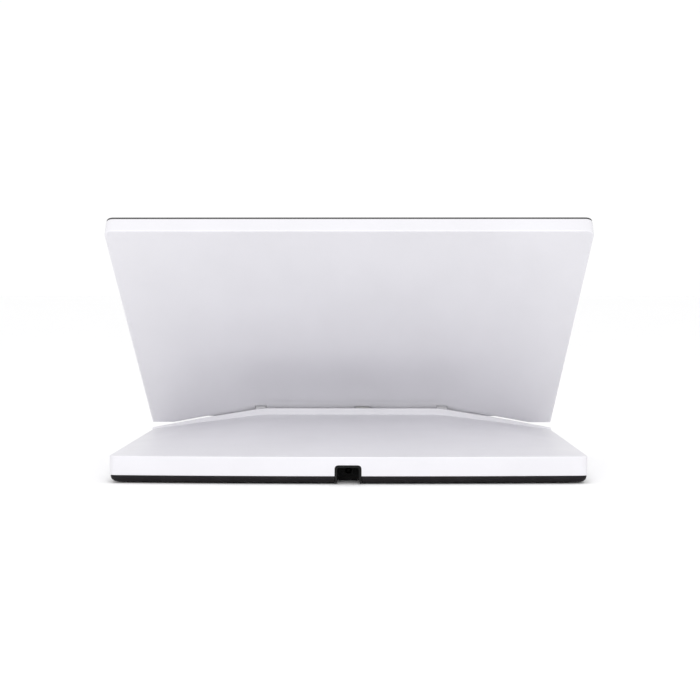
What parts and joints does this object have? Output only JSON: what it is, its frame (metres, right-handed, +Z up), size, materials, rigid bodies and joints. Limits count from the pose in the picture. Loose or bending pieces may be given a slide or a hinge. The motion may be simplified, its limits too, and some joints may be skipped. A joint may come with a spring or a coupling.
{
  "type": "video magnifier",
  "caption": "Foldable desktop video magnifier: white low base with a downward reading camera and a tilting white-backed screen on friction hinges, with round press keys.",
  "frame": {"origin": "on the surface it stands on, under the middle of the object's box", "axes": "+Z up, -Y towards the user, +Y towards the rear wall with the cable recess, +X to the user's right"},
  "size_m": [0.3456, 0.2284, 0.1843],
  "materials": {
    "shell_white": "fine satin moulded plastic",
    "tray_black": "fine textured moulded plastic",
    "recess_black": "matt moulded plastic",
    "screen_glass": "black-bordered cover glass",
    "lcd": "dark display panel, off",
    "clear_glass": "clear",
    "backlight_tray": "pressed sheet",
    "hinge_aluminium": "satin",
    "steel": "plain",
    "circuit_board": "solder resist",
    "battery_wrap": "shrink wrap",
    "light_diffuser": "frosted",
    "glide_rubber": "matt",
    "key_grey": "soft satin",
    "key_yellow": "soft satin",
    "cable_black": "matt jacket"
  },
  "bodies": {
    "base": {"base_top_cover": "shell_white", "base_tray": "tray_black", "connector_recess": "recess_black", "dc_socket": "steel", "battery_door": "tray_black", "battery_pack": "battery_wrap", "main_board": "circuit_board", "camera_holder": "recess_black", "camera_board": "circuit_board", "camera_lens_barrel": "recess_black", "camera_lens": "clear_glass", "reading_window": "clear_glass", "display_cable_base": "cable_black", "body_screw_1": "steel", "body_screw_2": "steel", "body_screw_3": "steel", "body_screw_4": "steel", "body_screw_5": "steel", "body_screw_6": "steel", "battery_door_screw_1": "steel", "battery_door_screw_2": "steel", "glide_1": "glide_rubber", "glide_2": "glide_rubber", "glide_3": "glide_rubber", "glide_4": "glide_rubber", "hinge_bracket_left": "hinge_aluminium", "hinge_bracket_right": "hinge_aluminium", "led_board_left": "circuit_board", "led_board_right": "circuit_board", "light_diffuser_left": "light_diffuser", "light_diffuser_right": "light_diffuser"},
    "screen": {"screen_back_cover": "shell_white", "control_panel": "tray_black", "display_frame": "tray_black", "screen_glass": "screen_glass", "lcd_panel": "lcd", "backlight_unit": "backlight_tray", "lcd_bracket_left": "backlight_tray", "lcd_bracket_right": "backlight_tray", "hinge_leaf_left": "steel", "hinge_leaf_right": "steel", "hinge_shaft_left": "steel", "hinge_shaft_right": "steel", "hinge_nut_left": "steel", "hinge_nut_right": "steel", "leaf_screw_left_1": "steel", "leaf_screw_left_2": "steel", "leaf_screw_right_1": "steel", "leaf_screw_right_2": "steel", "display_driver_board": "circuit_board", "key_board": "circuit_board", "display_cable_head": "cable_black"},
    "power_button": {"power_key": "key_grey"},
    "zoom_out_button": {"zoom_out_key": "key_grey"},
    "colour_mode_button": {"colour_mode_key": "key_yellow"},
    "zoom_in_button": {"zoom_in_key": "key_grey"},
    "overview_button": {"overview_key": "key_grey"}
  },
  "joints": [
    {"name": "screen_tilt", "type": "hinge", "parent": "base", "child": "screen", "pos_m": [0, -0.08915, 0.0427], "axis": [1, 0, 0], "range_deg": [-44, 24]},
    {"name": "power_press", "type": "slide", "parent": "screen", "child": "power_button", "axis": [0, 0.6561, -0.7547], "range_m": [0, 0.001], "stiffness_N_per_m": 450, "springref_m": -0.001},
    {"name": "zoom_out_press", "type": "slide", "parent": "screen", "child": "zoom_out_button", "axis": [0, 0.6561, -0.7547], "range_m": [0, 0.001], "stiffness_N_per_m": 450, "springref_m": -0.001},
    {"name": "colour_mode_press", "type": "slide", "parent": "screen", "child": "colour_mode_button", "axis": [0, 0.6561, -0.7547], "range_m": [0, 0.001], "stiffness_N_per_m": 450, "springref_m": -0.001},
    {"name": "zoom_in_press", "type": "slide", "parent": "screen", "child": "zoom_in_button", "axis": [0, 0.6561, -0.7547], "range_m": [0, 0.001], "stiffness_N_per_m": 450, "springref_m": -0.001},
    {"name": "overview_press", "type": "slide", "parent": "screen", "child": "overview_button", "axis": [0, 0.6561, -0.7547], "range_m": [0, 0.001], "stiffness_N_per_m": 450, "springref_m": -0.001}
  ]
}
